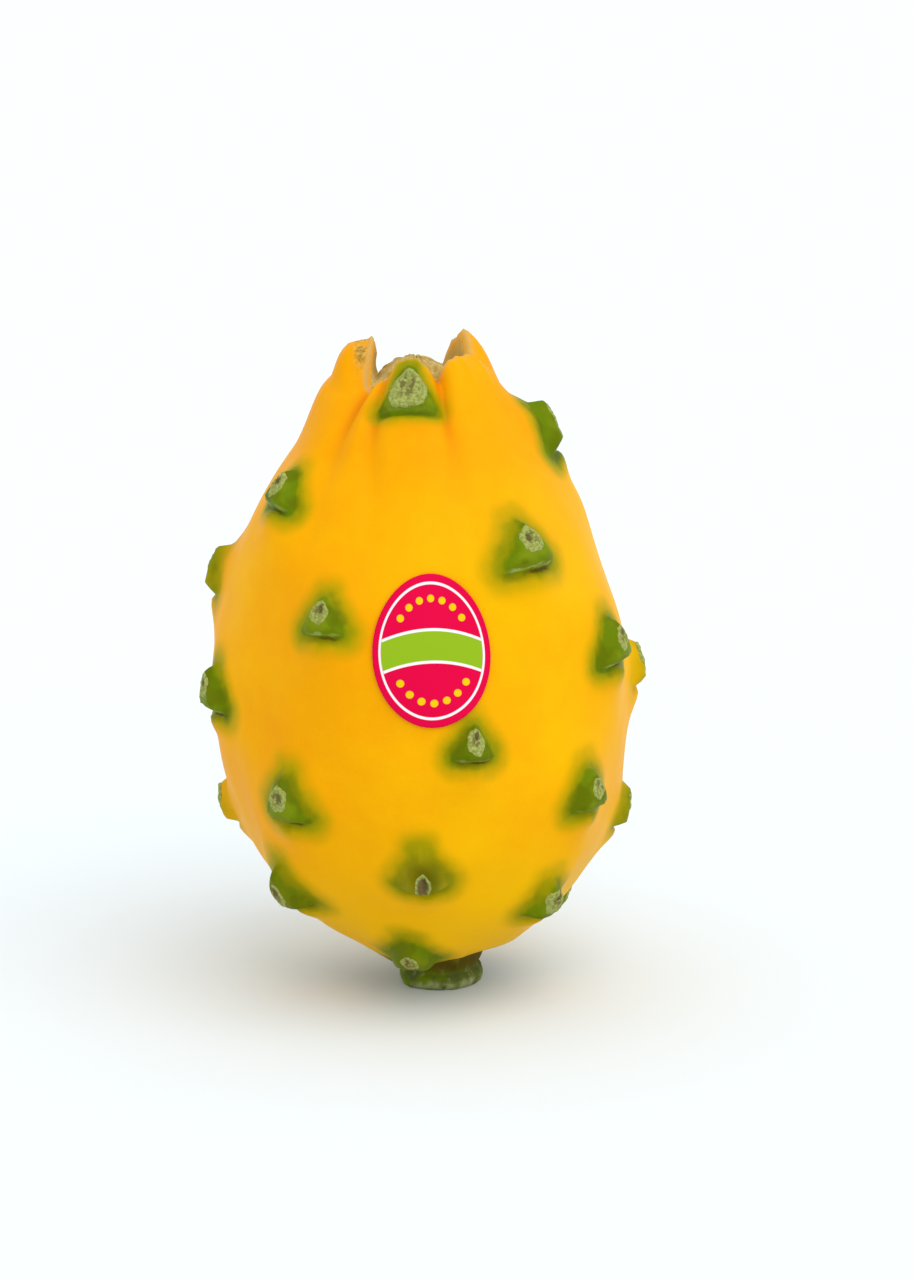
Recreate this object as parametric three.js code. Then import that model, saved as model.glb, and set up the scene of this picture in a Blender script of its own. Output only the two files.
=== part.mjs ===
// A whole yellow dragon fruit that stands on its cut stem end, with a plain oval sticker on its front.
// Millimetres, +Z up, -Y to the front. The origin is the centre of the flat spot that the fruit stands on.
import * as THREE from "three";

// Driving dimensions. An azimuth is in degrees from the front, and grows towards +X.
const FOOT_RADIUS = 8;
const BELLY_RADIUS = 37;
const BELLY_HEIGHT = 54;
const RIM_RADIUS = 9.9;
const RIM_HEIGHT = 111;
const SCAR_HEIGHT = 115.2;

// The body's centre line leans to -X above the foot: how far in all, and over what height.
const LEAN = 4.5;
const LEAN_HEIGHT = 35;

// The bare outline, radius and height, from the centre of the foot up to the centre of the flower scar.
const OUTLINE = [
  [0, 0],
  [FOOT_RADIUS - 0.7, 0],
  [FOOT_RADIUS, 0.8],
  [FOOT_RADIUS - 0.3, 2.2],
  [FOOT_RADIUS - 0.8, 3.4],
  [9.4, 4.3],
  [14.2, 7.4],
  [20.5, 12.5],
  [28, 20.5],
  [33.6, 30],
  [BELLY_RADIUS - 0.4, BELLY_HEIGHT - 12],
  [BELLY_RADIUS, BELLY_HEIGHT],
  [35.8, 67],
  [32.8, 79],
  [27.6, 91],
  [21.6, 100.5],
  [16.2, 107.2],
  [12.7, RIM_HEIGHT - 0.8],
  [RIM_RADIUS, RIM_HEIGHT],
  [7.4, RIM_HEIGHT + 0.4],
  [4.6, SCAR_HEIGHT - 1.4],
  [1.8, SCAR_HEIGHT - 0.2],
  [0, SCAR_HEIGHT],
];
const OUTLINE_STEPS = 24;

// Tubercles, each with a cap that points up to the crown: azimuth, height of the centre, size, turn in
// degrees, the height of the mound under it, how far its face tilts forward, and for some a factor across
// it, which is largest for the one at the rim.
const TUBERCLES = [
  { azimuth: -4, height: 108.4, size: 0.62, width: 2.2, turn: 0, mound: 1.2, tilt: 0 },
  { azimuth: 93, height: 100.4, size: 1.1, turn: 8, mound: 1.9, tilt: 0.45 },
  { azimuth: -56, height: 92.5, size: 0.92, turn: -4, mound: 0.8, tilt: 0.08 },
  { azimuth: 36.4, height: 84.4, size: 1.12, width: 1.1, turn: 5, mound: 1.6, tilt: 0.08 },
  { azimuth: -26.2, height: 73.8, size: 0.92, turn: 0, mound: 1.6, tilt: 0.08 },
  { azimuth: 66, height: 65.9, size: 1.05, turn: 2, mound: 1.3, tilt: 0.08 },
  { azimuth: -72, height: 56.3, size: 1.05, turn: 0, mound: 1.45, tilt: 0.08 },
  { azimuth: 14.4, height: 53.4, size: 0.9, width: 0.93, turn: -2, mound: 1.3, tilt: 0.08 },
  { azimuth: 51, height: 41.5, size: 1, turn: 5, mound: 1.2, tilt: 0.08 },
  { azimuth: -37.5, height: 42, size: 1.05, turn: -4, mound: 1.6, tilt: 0.08 },
  { azimuth: -0.5, height: 30.3, size: 1, turn: 3, mound: 1.5, tilt: 0.08 },
  { azimuth: -50, height: 24, size: 1.1, turn: -6, mound: 1.6, tilt: 0.08 },
  { azimuth: -10, height: 12.1, size: 1, turn: -3, mound: 1.7, tilt: 0.08 },
  { azimuth: 43, height: 22.5, size: 1, turn: 8, mound: 1.6, tilt: 0.08 },
  { azimuth: -98, height: 74.4, size: 1.1, turn: -6, mound: 2.3, tilt: 0.2 },
  { azimuth: 101, height: 56.7, size: 1.05, turn: 5, mound: 1.9, tilt: 0.08 },
  { azimuth: -104, height: 31.6, size: 0.95, turn: -8, mound: 2.1, tilt: 0.08 },
  { azimuth: 101, height: 31, size: 0.95, turn: 6, mound: 1.4, tilt: 0.08 },
  { azimuth: 128, height: 86, size: 0.95, turn: 8, mound: 1.7, tilt: 0.08 },
  { azimuth: -136, height: 97, size: 1, turn: -8, mound: 1.7, tilt: 0.08 },
  { azimuth: 168, height: 103, size: 1.1, turn: 3, mound: 1.6, tilt: 0.08 },
  { azimuth: -160, height: 80, size: 1.05, turn: -5, mound: 1.7, tilt: 0.08 },
  { azimuth: 158, height: 72.5, size: 1, turn: 6, mound: 1.7, tilt: 0.08 },
  { azimuth: -131, height: 56.5, size: 1, turn: -3, mound: 1.8, tilt: 0.08 },
  { azimuth: -176, height: 53, size: 1.05, turn: -2, mound: 1.6, tilt: 0.08 },
  { azimuth: 134, height: 45, size: 1, turn: 5, mound: 1.7, tilt: 0.08 },
  { azimuth: -148, height: 35, size: 1.05, turn: -8, mound: 1.7, tilt: 0.08 },
  { azimuth: 168, height: 30.5, size: 1, turn: 4, mound: 1.7, tilt: 0.08 },
  { azimuth: -114, height: 13.8, size: 1, turn: -6, mound: 1.6, tilt: 0.08 },
  { azimuth: 112, height: 14.5, size: 1, turn: 7, mound: 1.6, tilt: 0.08 },
  { azimuth: -176, height: 13.5, size: 0.95, turn: 0, mound: 1.5, tilt: 0.08 },
];

// The cap of a tubercle of size 1: a low three-sided platform that rises to a steep lip on its lower side.
// Its arch is the power by which its two other sides bow out.
const CAP_TOP = 4.7;
const CAP_BOTTOM = -2.6;
const CAP_HALF_WIDTH = 4.6;
const CAP_LIFT = 2.3;
const CAP_RISE = 0.15;
const CAP_SIDE_SLOPE = 1.8;
const CAP_LIP_SLOPE = 0.8;
const CAP_ROUNDING = 4;
const CAP_ARCH = 1.4;

// What carries the cap: a cushion under its lip, a mound that runs on down the fruit, and a broad swell.
const CUSHION = { lift: 1.3, width: 3.8, drop: 5.2, height: 2.6 };
const MOUND = { width: 6.4, above: 5.6, below: 12.5 };
const SWELL = { lift: 0.8, width: 13, height: 16, sink: 0.25 };
const RELIEF_REACH = [24, 34];
const RELIEF_HEIGHTS = [3.2, 8.5];
const RELIEF_RADII = [8, 10.5];
const TILTED = { width: 6, height: 7 };
const UPWARD_TILT = 0.25;

// Fleshy horns that stand round the flower scar: azimuth, half width in degrees, height above the rim, the
// bare radii at which a horn is still full and has run into the body, the squareness of its shape from the
// side, and how far its inner side leans in as a share of its height. The second is the broad foot of the
// first.
const HORNS = [
  { azimuth: -93, halfWidth: 31, lift: 8.4, crest: 11.6, reach: 17.6, squareness: 4, lean: 0.36 },
  { azimuth: -93, halfWidth: 33, lift: 3.4, crest: 16.5, reach: 22.5, squareness: 3, lean: 0 },
  { azimuth: -4, halfWidth: 29, lift: 5.6, crest: 11.2, reach: 17, squareness: 2.6, lean: 0 },
  { azimuth: 53, halfWidth: 31, lift: 5.2, crest: 11.2, reach: 18.5, squareness: 5, lean: 0.15 },
  { azimuth: 112, halfWidth: 38, lift: 9.2, crest: 10.7, reach: 15.8, squareness: 2.6, lean: 0.2 },
  { azimuth: 168, halfWidth: 20, lift: 2, crest: 11.5, reach: 20, squareness: 4, lean: 0.15 },
];
const HORN_INSIDE = [7, 10.8];
const HORN_UPRIGHT = [10.5, 14];

// Furrows that run down from the rim between the crown's ridges: azimuth at the rim, and how much that grows
// in 20 mm down the fruit.
const FURROWS = [
  [-150, 0],
  [-112, 0],
  [-44, 4],
  [-26, 9],
  [20, -1],
  [124, 0],
  [148, 0],
  [194, 0],
];
const FURROW_DEPTH = 1.1;
const FURROW_WIDTH = 2.3;
const FURROW_HEIGHTS = [80, 108];
const FURROW_INSIDE = [7, 10.5];

// Slow waves that keep the body from being a true round.
const WAVE = 0.45;
const WAVE_HEIGHTS = [4, 22, 88, 106];

// The sticker, on the fruit's front.
const STICKER = { azimuth: 4.5, height: 69.8, width: 20.4, length: 26.4, thickness: 0.35, gap: 0.15 };

// Facets: rows from foot to scar, columns round the fruit, and how far lines draw in towards each tubercle.
const ROWS = 54;
const COLUMNS = 90;
const DRAW_IN = 0.45;
const DRAW_IN_RADIUS = 5.5;
const STICKER_RINGS = 6;
const STICKER_SIDES = 40;

const radians = THREE.MathUtils.degToRad;
const { smoothstep, clamp } = THREE.MathUtils;

// The nearest way round from azimuth b to azimuth a, in radians.
function turnBetween(a, b) {
  return Math.atan2(Math.sin(a - b), Math.cos(a - b));
}

// The bare outline as points a short, known way apart.
function walkOutline() {
  const curve = new THREE.SplineCurve(OUTLINE.map(([r, z]) => new THREE.Vector2(r, z)));
  const points = curve.getPoints(OUTLINE_STEPS * (OUTLINE.length - 1));
  for (const p of points) p.set(Math.max(p.x, 0), Math.max(p.y, 0));
  const along = [0];
  for (let i = 1; i < points.length; i++) {
    along.push(along[i - 1] + points[i].distanceTo(points[i - 1]));
  }
  return { points, along, length: along.at(-1) };
}

const outline = walkOutline();

// Radius and height of the bare outline at a way s along it from the foot's centre.
function outlineAt(s) {
  const way = clamp(s, 0, outline.length);
  const i = Math.max(outline.along.findIndex((a) => a >= way), 1);
  const share = (way - outline.along[i - 1]) / (outline.along[i] - outline.along[i - 1]);
  return outline.points[i - 1].clone().lerp(outline.points[i], share);
}

// The way along the outline at which its outer side reaches a height.
function wayAtHeight(height) {
  const i = outline.points.findIndex((p) => p.y >= height && p.x > FOOT_RADIUS);
  return outline.along[i];
}

const tubercles = TUBERCLES.map((t) => {
  const way = wayAtHeight(t.height);
  return { ...t, azimuth: radians(t.azimuth), way, radius: outlineAt(way).x, width: t.width ?? 1 };
});

// How much the horns raise the rim at an azimuth and a bare radius, and how far they draw it inwards.
function hornRise(azimuth, radius) {
  const edge = smoothstep(radius, ...HORN_INSIDE);
  const leaning = 1 - smoothstep(radius, ...HORN_UPRIGHT);
  let best = { rise: 0, inwards: 0 };
  for (const h of HORNS) {
    const across = Math.abs(turnBetween(azimuth, radians(h.azimuth))) / radians(h.halfWidth);
    const outwards = 1 - smoothstep(radius, h.crest, h.reach);
    const rise = h.lift * edge * outwards * Math.exp(-(across ** h.squareness));
    if (rise > best.rise) best = { rise, inwards: rise * h.lean * leaning };
  }
  return best;
}

// How deep the crown's furrows are at an azimuth, a bare radius and a height.
function furrowDepth(azimuth, radius, height) {
  const down = smoothstep(height, ...FURROW_HEIGHTS) * smoothstep(radius, ...FURROW_INSIDE);
  const shares = FURROWS.map(([start, drift]) => {
    const furrow = radians(start + (drift * (RIM_HEIGHT - height)) / 20);
    const across = (turnBetween(azimuth, furrow) * radius) / FURROW_WIDTH;
    return Math.exp(-(across ** 2));
  });
  return FURROW_DEPTH * down * Math.max(...shares);
}

// How far inside the cap's outline a point is, as a share of its slopes: 0 on the edge, 1 on the platform.
function capShare(u, w) {
  const height = CAP_TOP - CAP_BOTTOM;
  const aside = Math.abs(u) / CAP_HALF_WIDTH;
  const lean = ((CAP_ARCH * height) / CAP_HALF_WIDTH) * aside ** (CAP_ARCH - 1);
  const toSide = (CAP_TOP - w - height * aside ** CAP_ARCH) / Math.hypot(1, lean);
  const toLip = w - CAP_BOTTOM;
  const shares = [toSide / CAP_SIDE_SLOPE, toLip / CAP_LIP_SLOPE];
  return -Math.log(shares.reduce((sum, share) => sum + Math.exp(-CAP_ROUNDING * share), 0)) / CAP_ROUNDING;
}

// The relief of one tubercle of size 1 at u across it and w up it.
function tubercleLift(u, w, { mound, tilt }) {
  const along = w > 0 ? w / MOUND.above : w / MOUND.below;
  const hill = mound * Math.exp(-((u / MOUND.width) ** 2) - along ** 2);
  const swell = SWELL.lift * Math.exp(-((u / SWELL.width) ** 2) - (w / SWELL.height) ** 2) - SWELL.sink;
  const rise = 1 - CAP_RISE + (CAP_RISE * (CAP_TOP - w)) / (CAP_TOP - CAP_BOTTOM);
  const cap = CAP_LIFT * rise * smoothstep(capShare(u, w), -0.35, 1);
  const under = (w + CUSHION.drop) / CUSHION.height;
  const cushion = CUSHION.lift * Math.exp(-((u / CUSHION.width) ** 2) - under ** 2);
  const tilted = tilt * w * Math.exp(-((u / TILTED.width) ** 2) - (w / TILTED.height) ** 2);
  return hill + swell + tilted + cap + cushion;
}

// A point of the fruit's skin at an azimuth and a way along the outline.
function skinPoint(azimuth, way) {
  const at = outlineAt(way);
  const ahead = outlineAt(way + 0.2).sub(outlineAt(way - 0.2)).normalize();
  const out = new THREE.Vector3(Math.sin(azimuth), -Math.cos(azimuth), 0);
  const up = out.clone().multiplyScalar(ahead.x).setZ(ahead.y);
  const normal = out.clone().multiplyScalar(ahead.y).setZ(-ahead.x);
  const point = out.clone().multiplyScalar(at.x).setZ(at.y);

  const [low, full, fading, gone] = WAVE_HEIGHTS;
  const body = smoothstep(at.y, low, full) * (1 - smoothstep(at.y, fading, gone));
  const wave = Math.sin(3 * azimuth + 0.05 * at.y) + 0.6 * Math.sin(5 * azimuth - 0.08 * at.y + 1);
  point.addScaledVector(normal, WAVE * body * wave - furrowDepth(azimuth, at.x, at.y));
  const horn = hornRise(azimuth, at.x);
  point.addScaledVector(out, -horn.inwards);
  point.z += horn.rise;

  const raised = normal.clone().addScaledVector(up, UPWARD_TILT);
  raised.multiplyScalar(smoothstep(at.y, ...RELIEF_HEIGHTS) * smoothstep(at.x, ...RELIEF_RADII));
  for (const t of tubercles) {
    const x = (turnBetween(azimuth, t.azimuth) * (at.x + t.radius)) / 2;
    const y = way - t.way;
    const turn = radians(t.turn);
    const u = (x * Math.cos(turn) + y * Math.sin(turn)) / (t.size * t.width);
    const w = (y * Math.cos(turn) - x * Math.sin(turn)) / t.size;
    const near = 1 - smoothstep(Math.hypot(x, y), ...RELIEF_REACH);
    point.addScaledVector(raised, near * t.size * tubercleLift(u, w, t));
  }
  point.x -= LEAN * (1 - Math.exp(-at.y / LEAN_HEIGHT));
  point.z = Math.max(point.z, 0);
  return point;
}

// A closed body from rows of points between two poles, with its faces pointing out.
function closedBody(rows, bottom, top) {
  const sides = rows[0].length;
  const positions = [bottom, ...rows.flat(), top].flatMap((p) => p.toArray());
  const last = rows.length * sides + 1;
  const index = [];
  for (let j = 0; j < sides; j++) {
    const next = (j + 1) % sides;
    index.push(0, 1 + next, 1 + j);
    for (let i = 0; i < rows.length - 1; i++) {
      const a = 1 + i * sides;
      const b = a + sides;
      index.push(a + j, a + next, b + next, a + j, b + next, b + j);
    }
    const edge = 1 + (rows.length - 1) * sides;
    index.push(edge + j, edge + next, last);
  }
  const geometry = new THREE.BufferGeometry();
  geometry.setAttribute("position", new THREE.Float32BufferAttribute(positions, 3));
  geometry.setIndex(index);
  geometry.computeVertexNormals();
  return geometry;
}

// Grid lines drawn in towards the tubercles, so that their caps get the finer facets.
function drawnIn(azimuth, way) {
  const radius = Math.max(outlineAt(way).x, 1);
  let [turned, moved] = [azimuth, way];
  for (const t of tubercles) {
    const x = turnBetween(t.azimuth, azimuth);
    const y = t.way - way;
    const pull = DRAW_IN * Math.exp(-((x * radius) ** 2 + y ** 2) / (2 * DRAW_IN_RADIUS ** 2));
    turned += x * pull;
    moved += y * pull;
  }
  return [turned, moved];
}

function fruitGeometry() {
  const rows = [];
  for (let i = 1; i < ROWS; i++) {
    const way = (outline.length * i) / ROWS;
    const azimuths = Array.from({ length: COLUMNS }, (_, j) => (2 * Math.PI * j) / COLUMNS);
    rows.push(azimuths.map((azimuth) => skinPoint(...drawnIn(azimuth, way))));
  }
  return closedBody(rows, skinPoint(0, 0), skinPoint(0, outline.length));
}

// A point at a height above the skin, along the skin's own normal.
function abovePoint(azimuth, way, height) {
  const step = 0.4;
  const turn = step / BELLY_RADIUS;
  const across = skinPoint(azimuth + turn, way).sub(skinPoint(azimuth - turn, way));
  const along = skinPoint(azimuth, way + step).sub(skinPoint(azimuth, way - step));
  return skinPoint(azimuth, way).addScaledVector(across.cross(along).normalize(), height);
}

function stickerGeometry() {
  const middle = wayAtHeight(STICKER.height);
  const radius = outlineAt(middle).x;
  const ring = (share, height) =>
    Array.from({ length: STICKER_SIDES }, (_, j) => {
      const angle = (2 * Math.PI * j) / STICKER_SIDES;
      const across = (share * STICKER.width * Math.cos(angle)) / 2;
      const along = (share * STICKER.length * Math.sin(angle)) / 2;
      return abovePoint(radians(STICKER.azimuth) + across / radius, middle + along, height);
    });
  const shares = Array.from({ length: STICKER_RINGS }, (_, i) => (i + 1) / STICKER_RINGS);
  const [low, high] = [STICKER.gap, STICKER.gap + STICKER.thickness];
  const rows = [...shares.map((s) => ring(s, low)), ...shares.toReversed().map((s) => ring(s, high))];
  const pole = (height) => abovePoint(radians(STICKER.azimuth), middle, height);
  return closedBody(rows, pole(low), pole(high));
}

const skin = new THREE.MeshStandardMaterial({ color: "#f5b000", roughness: 0.42, metalness: 0 });
const paper = new THREE.MeshStandardMaterial({ color: "#e40a50", roughness: 0.35, metalness: 0 });

const dragonFruit = new THREE.Group();
for (const [name, geometry, material] of [
  ["fruit", fruitGeometry(), skin],
  ["sticker", stickerGeometry(), paper],
]) {
  const mesh = new THREE.Mesh(geometry, material);
  mesh.name = name;
  dragonFruit.add(mesh);
}

export default dragonFruit;
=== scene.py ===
"""A whole yellow dragon fruit that stands on its cut stem end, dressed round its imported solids.

The skin is one closed surface over two parameters: the azimuth round the fruit, and the way along its outline
from the centre of the foot to the centre of the flower scar. Shapes are worked out in millimetres, and put
into the meshes in metres.
"""

import logging
import math
from collections.abc import Callable
from dataclasses import dataclass, field
from enum import Enum
from functools import cached_property, partial

import bpy
import numpy as np
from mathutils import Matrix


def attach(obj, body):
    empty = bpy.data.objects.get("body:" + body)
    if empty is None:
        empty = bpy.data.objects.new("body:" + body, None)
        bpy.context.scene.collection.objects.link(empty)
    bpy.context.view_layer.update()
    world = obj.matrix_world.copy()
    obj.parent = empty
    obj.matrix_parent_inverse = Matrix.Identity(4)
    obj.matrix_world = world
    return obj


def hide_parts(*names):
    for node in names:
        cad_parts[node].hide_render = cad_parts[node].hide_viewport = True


MM = 0.001
WAVES = 9
LOG = logging.getLogger("dragon_fruit")

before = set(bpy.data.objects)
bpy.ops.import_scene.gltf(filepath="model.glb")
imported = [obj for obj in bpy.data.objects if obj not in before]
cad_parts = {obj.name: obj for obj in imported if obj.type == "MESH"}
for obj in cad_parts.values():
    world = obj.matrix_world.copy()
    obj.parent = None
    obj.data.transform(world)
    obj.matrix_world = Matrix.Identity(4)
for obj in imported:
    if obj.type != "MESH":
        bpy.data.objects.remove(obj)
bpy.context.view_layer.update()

Colour = tuple[int, int, int]
Array = np.ndarray
Place = Callable[[Array, Array], tuple[Array, Array]]


def linear(colour: Colour) -> tuple[float, float, float, float]:
    """Turns a colour of 0 to 255 a channel, as a screen shows it, into a shader's linear colour.

    Args:
        colour: red, green and blue.

    Returns:
        The linear red, green and blue, and an alpha of 1.
    """
    shares = [channel / 255 for channel in colour]
    red, green, blue = [s / 12.92 if s <= 0.04045 else ((s + 0.055) / 1.055) ** 2.4 for s in shares]
    return red, green, blue, 1.0


def smooth(x: Array, low: float, high: float) -> Array:
    """Climbs from 0 at low to 1 at high, level at both ends: 3t^2 - 2t^3 of the share t between them."""
    share = np.clip((x - low) / (high - low), 0.0, 1.0)
    return share * share * (3.0 - 2.0 * share)


def bell(x: Array, width: float, power: float = 2.0) -> Array:
    """A bump of height 1 at 0 that dies away over a width: e to the minus |x / width| to a power."""
    return np.exp(-(np.abs(x / width) ** power))


def turn_between(a: Array, b: float | Array) -> Array:
    """The nearest way round from azimuth b to azimuth a, in radians."""
    return (a - b + np.pi) % (2.0 * np.pi) - np.pi


def waves(points: Array, wavelength: float, seed: int) -> Array:
    """Soft lumps in space, mostly from -1 to 1: the sum of sine waves over the root of their number.

    Their directions, lengths and phases are drawn at random.

    Args:
        points: places in millimetres, with x, y and z in the last axis.
        wavelength: the middle length of the waves in millimetres.
        seed: seed of the random draw.

    Returns:
        One height for each point.
    """
    draw = np.random.default_rng(seed)
    directions = draw.normal(size=(WAVES, 3))
    directions /= np.linalg.norm(directions, axis=1, keepdims=True)
    lengths = wavelength * draw.uniform(0.7, 1.5, WAVES)
    phases = draw.uniform(0.0, 2.0 * np.pi, WAVES)
    total = np.zeros(points.shape[:-1])
    for direction, length, phase in zip(directions, lengths, phases):
        total += np.sin(points @ direction * (2.0 * np.pi / length) + phase)
    return total / math.sqrt(WAVES)


class Wire:
    """The output of a shader node, which Python's own operators work on."""

    def __init__(self, tree: "Tree", socket: bpy.types.NodeSocket) -> None:
        """Keeps the tree and the socket that later nodes are linked from."""
        self.tree = tree
        self.socket = socket

    def math(self, operation: str, *operands: "Wire | float") -> "Wire":
        """Adds a Math node for an operation on these operands, in their order."""
        return self.tree.node("ShaderNodeMath", {"operation": operation}, dict(enumerate(operands)))

    def __add__(self, other: "Wire | float") -> "Wire":
        """This value plus another."""
        return self.math("ADD", self, other)

    __radd__ = __add__

    def __sub__(self, other: "Wire | float") -> "Wire":
        """This value less another."""
        return self.math("SUBTRACT", self, other)

    def __rsub__(self, other: float) -> "Wire":
        """A number less this value."""
        return self.math("SUBTRACT", other, self)

    def __mul__(self, other: "Wire | float") -> "Wire":
        """This value times another."""
        return self.math("MULTIPLY", self, other)

    __rmul__ = __mul__

    def __truediv__(self, other: "Wire | float") -> "Wire":
        """This value over another."""
        return self.math("DIVIDE", self, other)

    def __pow__(self, other: float) -> "Wire":
        """This value to a power."""
        return self.math("POWER", self, other)

    def __abs__(self) -> "Wire":
        """This value without its sign."""
        return self.math("ABSOLUTE", self)

    def larger(self, other: "Wire | float") -> "Wire":
        """The larger of this value and another."""
        return self.math("MAXIMUM", self, other)

    def clear(self) -> "Wire":
        """This value kept between 0 and 1."""
        return self.tree.node("ShaderNodeClamp", {}, {"Value": self})

    def step(self, low: float, high: float) -> "Wire":
        """Climbs smoothly from 0 where this value is low to 1 where it is high."""
        inputs = {"Value": self, "From Min": low, "From Max": high}
        return self.tree.node("ShaderNodeMapRange", {"interpolation_type": "SMOOTHSTEP"}, inputs)


class Tree:
    """The node tree of one material, with one method that adds any node."""

    def __init__(self, name: str) -> None:
        """Makes an empty material of that name."""
        self.material = bpy.data.materials.new(name)
        self.material.use_nodes = True
        self.nodes = self.material.node_tree.nodes
        self.links = self.material.node_tree.links
        self.nodes.clear()

    def node(self, kind: str, settings: dict, inputs: dict, output: int | str = 0) -> Wire:
        """Adds a node.

        Args:
            kind: the node's type.
            settings: properties of the node, set before its sockets.
            inputs: values or wires by socket name or number.
            output: the name or number of the socket that is returned.

        Returns:
            The wire from that output.
        """
        node = self.nodes.new(kind)
        for name, value in settings.items():
            setattr(node, name, value)
        for key, value in inputs.items():
            if isinstance(value, Wire):
                self.links.new(value.socket, node.inputs[key])
            else:
                node.inputs[key].default_value = value
        return Wire(self, node.outputs[output])

    def places(self) -> Wire:
        """The point in the object's own coordinates, in metres."""
        return self.node("ShaderNodeTexCoord", {}, {}, "Object")

    def mask(self, name: str) -> Wire:
        """A number that the mesh carries at its points."""
        return self.node("ShaderNodeAttribute", {"attribute_name": name}, {}, "Fac")

    def noise(self, at: Wire, size: float, detail: float = 2.0, roughness: float = 0.5) -> Wire:
        """Cloudy noise about 0.5, whose clouds are about size millimetres across."""
        inputs = {"Vector": at, "Scale": 1.0 / (size * MM), "Detail": detail, "Roughness": roughness}
        return self.node("ShaderNodeTexNoise", {}, inputs, "Fac")

    def spots(self, at: Wire, size: float) -> Wire:
        """The distance to the nearest of many scattered points, as a share of the size between them."""
        inputs = {"Vector": at, "Scale": 1.0 / (size * MM)}
        return self.node("ShaderNodeTexVoronoi", {}, inputs, "Distance")

    def stretch(self, at: Wire, scale: tuple[float, float, float]) -> Wire:
        """A point with its x, y and z each multiplied by a factor of its own."""
        return self.node("ShaderNodeVectorMath", {"operation": "MULTIPLY"}, {0: at, 1: scale})

    def mix(self, share: Wire | float, first: Wire | Colour, second: Wire | Colour) -> Wire:
        """Blends two colours, from the first where the share is 0 to the second where it is 1."""
        ends = [end if isinstance(end, Wire) else linear(end) for end in (first, second)]
        return self.node("ShaderNodeMix", {"data_type": "RGBA"}, {0: share, 6: ends[0], 7: ends[1]}, 2)

    def coats(self, colour: Wire, *coats: tuple[Wire, Wire | Colour]) -> Wire:
        """Lays coats over a colour, one after another.

        Args:
            colour: the colour under them.
            coats: the share and the colour of each.

        Returns:
            The colour that shows.
        """
        for share, coat in coats:
            colour = self.mix(share, colour, coat)
        return colour

    def bump(self, height: Wire, depth: float) -> Wire:
        """A normal tilted by a height, of which 1 stands for a depth in millimetres."""
        inputs = {"Strength": 1.0, "Distance": depth * MM, "Height": height}
        return self.node("ShaderNodeBump", {}, inputs, "Normal")

    def surface(self, **inputs: Wire | float) -> bpy.types.Material:
        """Ends the tree in a Principled BSDF.

        Args:
            inputs: its sockets by name, with _ for each space.

        Returns:
            The finished material.
        """
        named = {name.replace("_", " "): value for name, value in inputs.items()}
        shader = self.node("ShaderNodeBsdfPrincipled", {}, named)
        end = self.nodes.new("ShaderNodeOutputMaterial")
        self.links.new(shader.socket, end.inputs["Surface"])
        return self.material


class Slot(Enum):
    """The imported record's material slots."""

    SKIN = "skin"
    STICKER = "sticker_paper"


@dataclass
class Surface:
    """Points in millimetres, with the masks that their finish reads."""

    points: Array
    masks: dict[str, Array]


def joined(surfaces: list[Surface]) -> Surface:
    """The points and masks of several surfaces, one after another."""
    masks = {name: np.concatenate([part.masks[name] for part in surfaces]) for name in surfaces[0].masks}
    return Surface(np.concatenate([part.points for part in surfaces]), masks)


def closed_faces(rows: int, columns: int) -> list[Array]:
    """Faces of a closed surface: quads between its rows, and a fan from a pole to its first and its last row.

    Args:
        rows: number of rows.
        columns: number of points in each row, which closes on itself.

    Returns:
        Arrays of point numbers, one row for each face, turned outwards where rows climb and columns run
        anticlockwise. The poles' numbers come after those of the rows.
    """
    row, column = np.meshgrid(np.arange(rows - 1), np.arange(columns), indexing="ij")
    here = row * columns + column
    beside = row * columns + (column + 1) % columns
    faces = [np.stack([here, beside, beside + columns, here + columns], axis=-1).reshape(-1, 4)]
    count, first = rows * columns, np.arange(columns)
    for pole, ring in ((count, first[::-1]), (count + 1, count - columns + first)):
        faces.append(np.stack([np.full(columns, pole), ring, np.roll(ring, -1)], axis=-1))
    return faces


def plate_places(rings: int, sides: int) -> tuple[Array, Array, Array]:
    """Places on a closed plate: rings out over its back and in over its face, then the middle of each.

    Args:
        rings: number of rings on the back, and on the face.
        sides: number of points in each ring.

    Returns:
        The share of the way out to the edge, the angle round the middle, and 0 on the back or 1 on the face.
    """
    out = np.arange(1, rings + 1) / rings
    share = np.repeat(np.concatenate([out, out[::-1]]), sides)
    angle = np.tile(np.linspace(0.0, 2.0 * np.pi, sides, endpoint=False), 2 * rings)
    face = np.repeat([0.0, 1.0], rings * sides)
    return np.append(share, [0.0, 0.0]), np.append(angle, [0.0, 0.0]), np.append(face, [0.0, 1.0])


def linked(name: str, data: bpy.types.ID) -> bpy.types.Object:
    """Puts a new object into the scene.

    Args:
        name: its name.
        data: its mesh, camera or light.

    Returns:
        The new object.
    """
    thing = bpy.data.objects.new(name, data)
    bpy.context.scene.collection.objects.link(thing)
    return thing


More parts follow.
